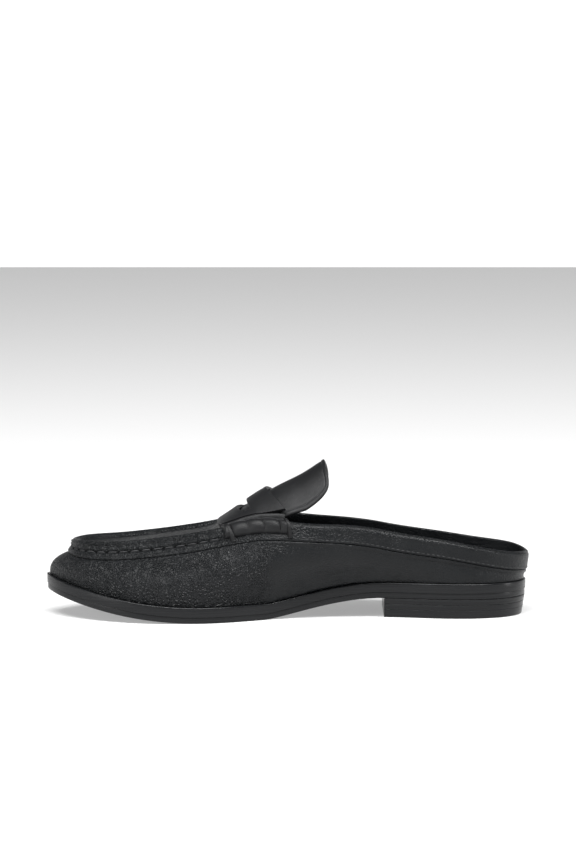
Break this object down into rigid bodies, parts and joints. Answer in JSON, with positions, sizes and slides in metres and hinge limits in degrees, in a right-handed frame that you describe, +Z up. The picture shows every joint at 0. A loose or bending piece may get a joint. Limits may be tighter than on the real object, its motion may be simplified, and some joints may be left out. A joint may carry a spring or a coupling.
{
  "type": "loafer mule, right shoe",
  "caption": "Low-heeled black leather loafer mule with a moc toe, a slotted saddle strap with wrapped rolls, a tall tongue and an open back with a low collar.",
  "frame": {"origin": "on the floor, below the middle of the shoe's length and width", "axes": "+X towards the heel, +Y towards the outer side of the foot, +Z up"},
  "size_m": [0.2656, 0.0914, 0.0849],
  "materials": {
    "pebbled_leather": "soft black pebbled leather, satin",
    "smooth_leather": "fine-grained black leather, satin",
    "lining_leather": "matt black lining leather",
    "sole_rubber": "black burnished sole edge, satin"
  },
  "bodies": {
    "root": {"upper": "pebbled_leather", "tongue": "smooth_leather", "saddle_strap": "smooth_leather", "roll_inner": "smooth_leather", "roll_outer": "smooth_leather", "insole": "lining_leather", "midsole": "sole_rubber", "outsole": "sole_rubber", "heel_lift_1": "sole_rubber", "heel_lift_2": "sole_rubber", "top_piece": "sole_rubber"}
  },
  "joints": []
}
